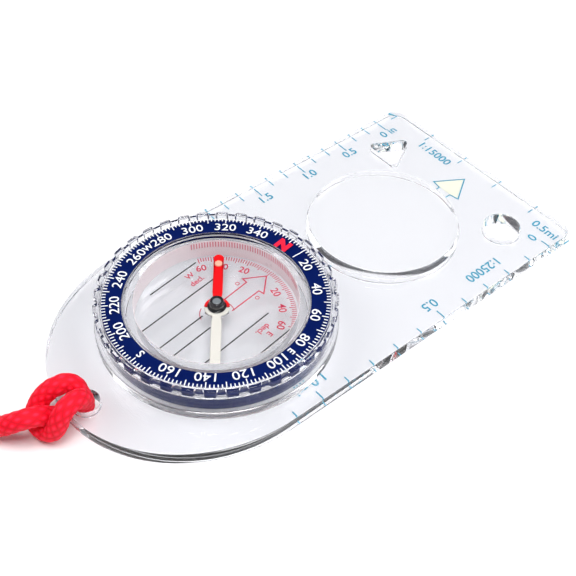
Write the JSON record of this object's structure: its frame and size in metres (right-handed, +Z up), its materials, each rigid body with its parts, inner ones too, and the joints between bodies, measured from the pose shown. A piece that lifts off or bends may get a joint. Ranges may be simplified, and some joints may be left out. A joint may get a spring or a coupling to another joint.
{
  "type": "baseplate compass",
  "caption": "Clear baseplate compass with a turning dial over a fixed blue index ring, a balanced needle in a capsule, a magnifier, template holes and a red lanyard.",
  "frame": {"origin": "centre of the underside of the plate: the bottom centre of the bounding box of the compass without its lanyard", "axes": "+X along the direction of travel, towards the front short edge; +Y towards the long edge with the inch scale; +Z up along the dial's and the needle's axis"},
  "size_m": [0.1763, 0.0678, 0.0106],
  "materials": {
    "clear_acrylic": "polished clear acrylic",
    "lens_acrylic": "polished clear acrylic lens",
    "blue_plastic": "glossy navy blue",
    "steel": "bright steel",
    "needle_red": "glossy red",
    "needle_white": "satin off-white",
    "black_plastic": "glossy black",
    "jewel": "polished grey glass",
    "lume": "matt luminous paint",
    "red_cord": "braided polyester cord"
  },
  "bodies": {
    "base": {"base_plate": "clear_acrylic", "magnifier_lens": "lens_acrylic", "seat_collar": "clear_acrylic", "index_ring": "blue_plastic", "lanyard_hitch": "red_cord", "lanyard_lead": "red_cord", "lanyard_coil": "red_cord", "lanyard_tail": "red_cord", "lanyard_end_knot": "red_cord"},
    "dial": {"grip_bezel": "clear_acrylic", "capsule_cup": "clear_acrylic", "capsule_lid": "clear_acrylic", "pivot_pin": "steel"},
    "needle": {"needle_core": "steel", "needle_north": "needle_red", "needle_south": "needle_white", "needle_hub": "black_plastic", "needle_jewel": "jewel", "needle_lume_dot": "lume"}
  },
  "joints": [
    {"name": "dial_turn", "type": "hinge", "parent": "base", "child": "dial", "pos_m": [-0.0205, 0, 0.0103], "axis": [0, 0, 1], "continuous": true},
    {"name": "needle_swing", "type": "hinge", "parent": "dial", "child": "needle", "pos_m": [-0.0205, 0, 0.00725], "axis": [0, 0, 1], "continuous": true}
  ]
}
